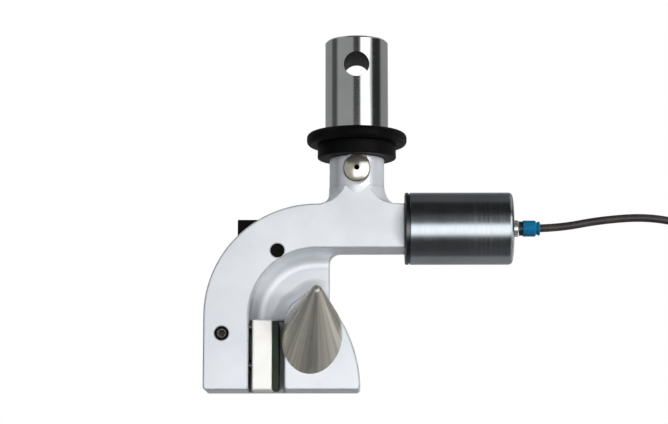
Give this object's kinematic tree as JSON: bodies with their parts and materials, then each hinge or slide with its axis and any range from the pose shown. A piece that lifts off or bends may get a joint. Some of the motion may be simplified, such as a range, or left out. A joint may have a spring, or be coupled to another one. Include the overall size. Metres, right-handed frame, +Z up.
{
  "type": "tensile test grip",
  "caption": "Pneumatic goose-neck tensile grip for cord or yarn: horn with tilted cone, lever-driven jaw, air cylinder and pinned shank.",
  "frame": {"origin": "centre of the cross hole in the shank, on the shank's axis", "axes": "+Z up along the shank, +X towards the air cylinder, the front with the cone faces -Y"},
  "size_m": [0.2932, 0.0622, 0.2228],
  "materials": {
    "body_alloy": "satin machined and clear anodised, light blue-grey",
    "steel_polished": "turned and polished steel",
    "black_oxide": "black oxide on turned steel",
    "nickel": "bright nickel plate",
    "cone_steel": "warm grey satin turned steel",
    "jaw_nickel": "ground and nickel plated steel",
    "pad_rubber": "dark green-black hard rubber",
    "cylinder_grey": "dark gunmetal anodised",
    "lever_black": "black oxide plate",
    "bronze": "sintered bronze",
    "screw_steel": "zinc plated steel",
    "spring_steel": "drawn spring wire",
    "seal_rubber": "black nitrile rubber",
    "fitting_brass": "nickel plated brass",
    "fitting_blue": "blue acetal",
    "hose_black": "black polyurethane tube"
  },
  "bodies": {
    "grip": {"body_frame": "body_alloy", "shank_adapter": "steel_polished", "coupling_pin": "nickel", "pin_lock_screw": "screw_steel", "horn_cone": "cone_steel", "cone_screw": "screw_steel", "fulcrum_pin": "black_oxide", "stop_pin": "black_oxide", "jaw_guide_bush": "bronze", "jaw_return_spring": "spring_steel", "front_cap": "cylinder_grey", "cap_o_ring": "seal_rubber", "rod_front_bush": "bronze", "rod_guide_bush": "bronze", "cylinder_barrel": "cylinder_grey", "piston_return_spring": "spring_steel", "fitting_base": "fitting_brass", "fitting_ring": "seal_rubber", "fitting_sleeve": "fitting_blue", "air_hose": "hose_black", "hose_coil": "hose_black", "hose_tail": "hose_black", "hose_tie": "black_oxide", "hose_plug": "fitting_brass"},
    "piston_body": {"piston": "body_alloy", "piston_seal": "seal_rubber", "piston_guide_ring": "bronze", "piston_nut": "screw_steel", "piston_rod": "steel_polished"},
    "lever_body": {"lever": "lever_black", "lever_bush": "bronze"},
    "jaw_body": {"jaw_block": "jaw_nickel", "jaw_pad": "pad_rubber", "pad_screws": "screw_steel", "jaw_guide_pin": "screw_steel", "jaw_return_screw": "screw_steel"},
    "washer_body": {"thrust_washer": "black_oxide"},
    "nut_body": {"lock_nut": "black_oxide"},
    "collar_body": {"release_collar": "fitting_blue"}
  },
  "joints": [
    {"name": "piston_slide", "type": "slide", "parent": "grip", "child": "piston_body", "axis": [-1, 0, 0], "range_m": [0, 0.0092], "stiffness_N_per_m": 1200, "springref_m": -0.012, "deforming": ["piston_return_spring"]},
    {"name": "lever_pivot", "type": "hinge", "parent": "grip", "child": "lever_body", "pos_m": [-0.0667, 0, -0.135], "axis": [0, -1, 0], "range_deg": [0, 9.83]},
    {"name": "jaw_slide", "type": "slide", "parent": "grip", "child": "jaw_body", "axis": [1, 0, 0], "range_m": [0, 0.00251], "deforming": ["jaw_return_spring"]},
    {"name": "washer_lift", "type": "slide", "parent": "grip", "child": "washer_body", "axis": [0, 0, 1], "range_m": [0, 0.00301]},
    {"name": "nut_turn", "type": "hinge", "parent": "washer_body", "child": "nut_body", "pos_m": [0, 0, -0.04235], "axis": [0, 0, 1], "range_deg": [0, 720]},
    {"name": "collar_push", "type": "slide", "parent": "grip", "child": "collar_body", "axis": [-1, 0, 0], "range_m": [0, 0.001], "stiffness_N_per_m": 400, "springref_m": -0.0005}
  ],
  "couplings": [
    {"joint": "lever_pivot", "follows": "piston_slide", "rad_per_m": 18.622},
    {"joint": "jaw_slide", "follows": "piston_slide", "ratio": 0.27188},
    {"joint": "washer_lift", "follows": "nut_turn", "m_per_rad": 0.00023873}
  ]
}
